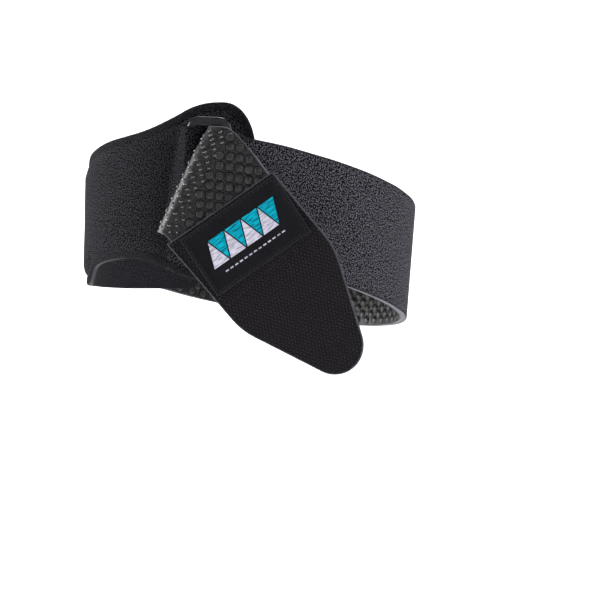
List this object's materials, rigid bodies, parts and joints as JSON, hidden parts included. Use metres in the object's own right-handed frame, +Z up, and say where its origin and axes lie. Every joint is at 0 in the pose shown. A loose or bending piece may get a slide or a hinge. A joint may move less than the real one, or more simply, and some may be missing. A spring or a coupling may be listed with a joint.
{
  "type": "iliotibial band strap",
  "caption": "Wrap-around strap for the thigh just above the knee: a shaped foam pad, an elastic belt through a slotted ring, and a fastening tab shown pulled open.",
  "frame": {"origin": "on the axis of the leg that the strap is worn on, at the middle of the loop's height", "axes": "+Z up along the leg, -Y to the front of the thigh, +X to the wearer's left when the pad lies on the wearer's right"},
  "size_m": [0.1295, 0.151, 0.1007],
  "materials": {
    "pad": "black brushed fabric over foam",
    "belt": "charcoal loop pile outside, grip rubber inside",
    "ring": "glossy black",
    "ring_keeper": "black brushed fabric",
    "hook_tab": "black ribbed woven tape",
    "label": "black woven label with a teal and pale lilac design"
  },
  "bodies": {
    "root": {"pad": "pad", "belt": "belt", "ring": "ring", "ring_keeper": "ring_keeper", "hook_tab": "hook_tab", "label": "label"}
  },
  "joints": []
}
